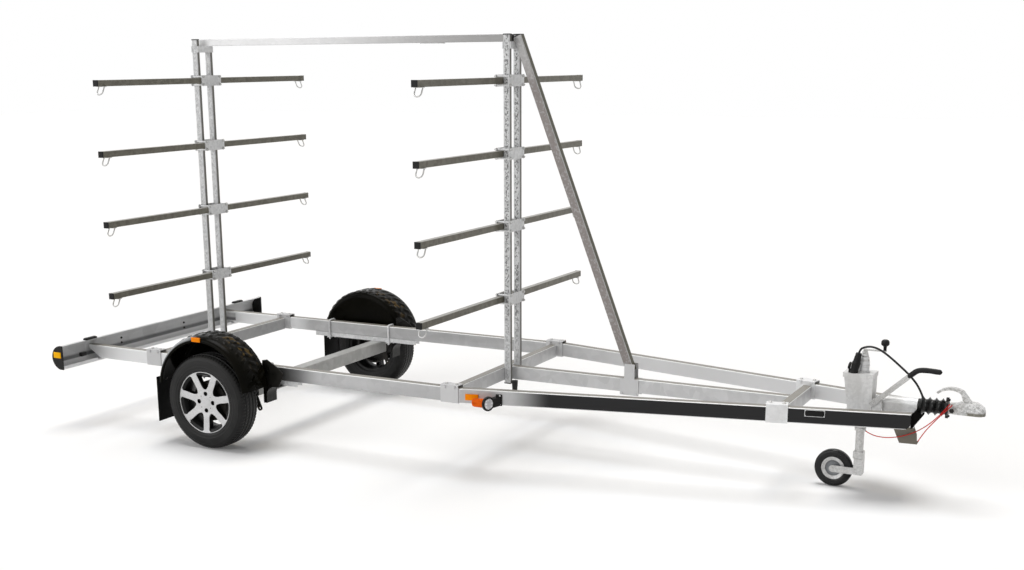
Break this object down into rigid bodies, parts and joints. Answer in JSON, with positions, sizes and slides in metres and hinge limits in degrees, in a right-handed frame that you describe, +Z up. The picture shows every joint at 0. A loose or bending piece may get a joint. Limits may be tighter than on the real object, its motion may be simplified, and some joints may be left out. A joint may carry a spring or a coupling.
{
  "type": "boat trailer",
  "caption": "Single-axle boat trailer with two upright racks of square arms, tapered drawbar, ball coupling, jockey wheel, mudguards and a rear light bar.",
  "frame": {"origin": "on the ground, under the middle of the trailer's length and width", "axes": "+X forward to the coupling, +Y to the trailer's left, +Z up"},
  "size_m": [5.2898, 1.992, 2.332],
  "materials": {
    "galvanised": "hot-dip galvanised, satin",
    "zinc_plated": "zinc plated, satin",
    "black_steel": "black powder coat",
    "bar_grey": "grey paint on sheet steel",
    "rim_alloy": "silver lacquered alloy",
    "drum_iron": "painted casting",
    "tyre": "matt rubber",
    "rubber_black": "matt",
    "guard_plastic": "moulded, grained",
    "black_plastic": "moulded",
    "amber_lens": "reflector lens",
    "red_lens": "lamp lens",
    "marker_plastic": "lamp housing",
    "cord_red": "plastic coated wire rope"
  },
  "bodies": {
    "trailer": {"arms_front": "galvanised", "arms_rear": "galvanised", "axle_beam": "galvanised", "axle_mounts": "galvanised", "bar_reflectors": "amber_lens", "bellows": "rubber_black", "breakaway_cord_long": "cord_red", "breakaway_cord_short": "cord_red", "centre_beam": "galvanised", "coupling_handle": "zinc_plated", "coupling_head": "zinc_plated", "crank": "zinc_plated", "crank_knob": "black_plastic", "crossbeam_drawbar": "galvanised", "crossbeam_front": "galvanised", "crossbeam_rear": "galvanised", "end_caps": "black_plastic", "handbrake_grip": "black_plastic", "handbrake_lever": "zinc_plated", "jockey_tower": "galvanised", "jockey_tube": "zinc_plated", "lashing_loops_front": "galvanised", "lashing_loops_rear": "galvanised", "lead_cord": "rubber_black", "light_bar": "bar_grey", "light_bar_caps": "black_plastic", "marker_lamps": "marker_plastic", "mudflaps": "rubber_black", "mudguard_brackets": "black_steel", "mudguard_left": "guard_plastic", "mudguard_right": "guard_plastic", "nose_plate": "black_steel", "overrun_housing": "galvanised", "plug": "black_plastic", "posts_front": "galvanised", "posts_rear": "galvanised", "rack_clamps_front": "galvanised", "rack_clamps_rear": "galvanised", "rail_clamps": "galvanised", "side_rail_left": "galvanised", "side_rail_right": "galvanised", "side_reflectors": "amber_lens", "strut": "galvanised", "strut_foot": "galvanised", "swing_arms": "drum_iron", "tail_lamps": "red_lens", "top_bar": "galvanised", "top_plates": "galvanised", "u_bolts": "galvanised"},
    "wheel_left": {"tyre_left": "tyre", "rim_left": "rim_alloy", "brake_drum_left": "drum_iron"},
    "wheel_right": {"tyre_right": "tyre", "rim_right": "rim_alloy", "brake_drum_right": "drum_iron"},
    "jockey_leg": {"jockey_leg": "zinc_plated"},
    "jockey_fork": {"jockey_fork": "zinc_plated"},
    "jockey_wheel": {"jockey_tyre": "rubber_black", "jockey_rim": "zinc_plated"}
  },
  "joints": [
    {"name": "wheel_left_spin", "type": "hinge", "parent": "trailer", "child": "wheel_left", "pos_m": [-1.5015, 0.8775, 0.28], "axis": [0, 1, 0], "continuous": true},
    {"name": "wheel_right_spin", "type": "hinge", "parent": "trailer", "child": "wheel_right", "pos_m": [-1.5015, -0.8775, 0.28], "axis": [0, 1, 0], "continuous": true},
    {"name": "jockey_slide", "type": "slide", "parent": "trailer", "child": "jockey_leg", "axis": [0, 0, 1], "range_m": [-0.1, 0.1]},
    {"name": "jockey_swivel", "type": "hinge", "parent": "jockey_leg", "child": "jockey_fork", "pos_m": [2.0385, 0, 0.2], "axis": [0, 0, 1], "continuous": true},
    {"name": "jockey_wheel_spin", "type": "hinge", "parent": "jockey_fork", "child": "jockey_wheel", "pos_m": [1.9125, 0, 0.1], "axis": [0, 1, 0], "continuous": true}
  ]
}
